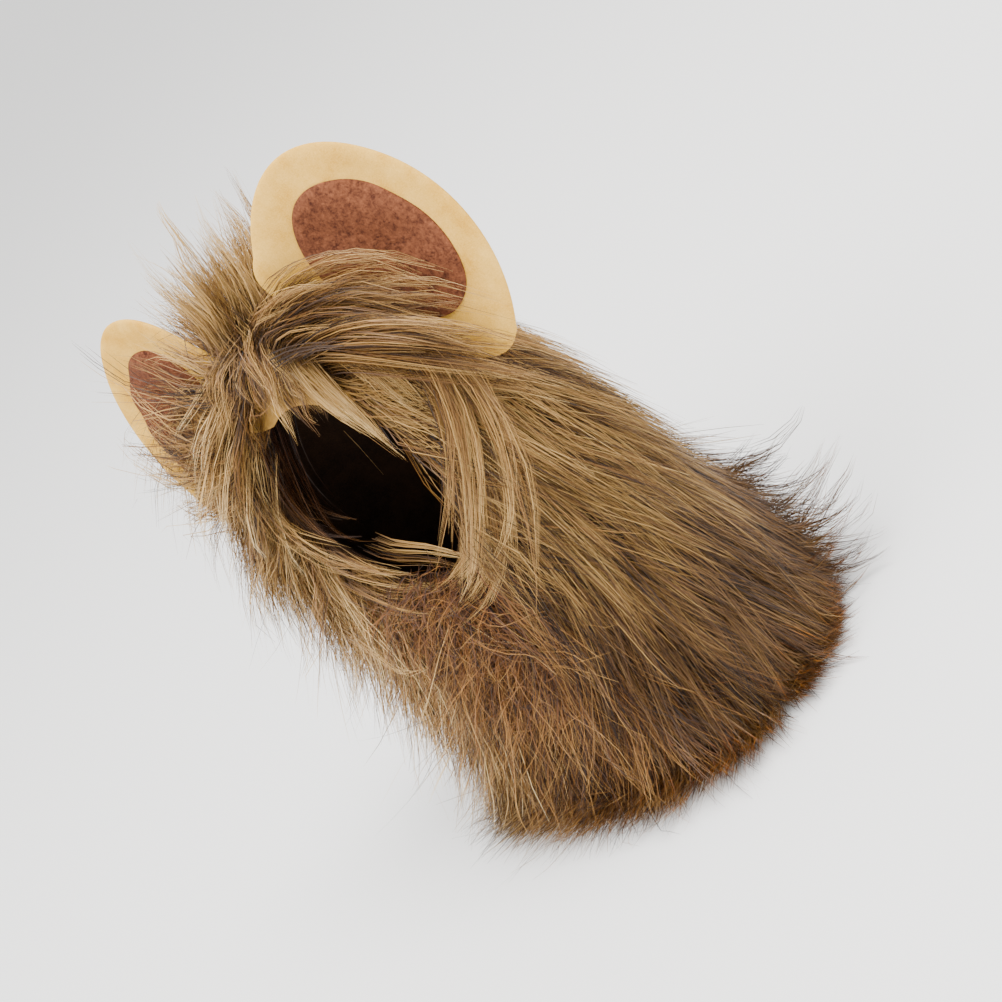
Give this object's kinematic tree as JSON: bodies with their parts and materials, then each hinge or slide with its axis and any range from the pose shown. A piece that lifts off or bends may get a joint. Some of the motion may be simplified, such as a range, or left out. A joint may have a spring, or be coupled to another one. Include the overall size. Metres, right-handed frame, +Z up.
{
  "type": "pet lion hat",
  "caption": "Fur lion-mane hood for a cat, with padded plush ears, an oval face opening and an open neck hem.",
  "frame": {"origin": "on the floor, under the middle of the whole hat standing on its neck hem", "axes": "+Z up from the neck hem towards the crown, +Y towards the back of the head, the face opening looks along -Y"},
  "size_m": [0.191, 0.1356, 0.2411],
  "materials": {
    "long_pile_fur": "long straight acrylic pile, golden brown with darker roots and tips",
    "lining_cloth": "matt dark woven lining",
    "band_cloth": "smooth golden tan cloth",
    "plush": "short tan velour pile",
    "fleece": "mottled reddish-brown fleece"
  },
  "bodies": {
    "root": {"mane": "long_pile_fur", "lining": "lining_cloth", "brow_band": "band_cloth", "ear_left": "plush", "ear_right": "plush", "ear_patch_left": "fleece", "ear_patch_right": "fleece"}
  },
  "joints": []
}
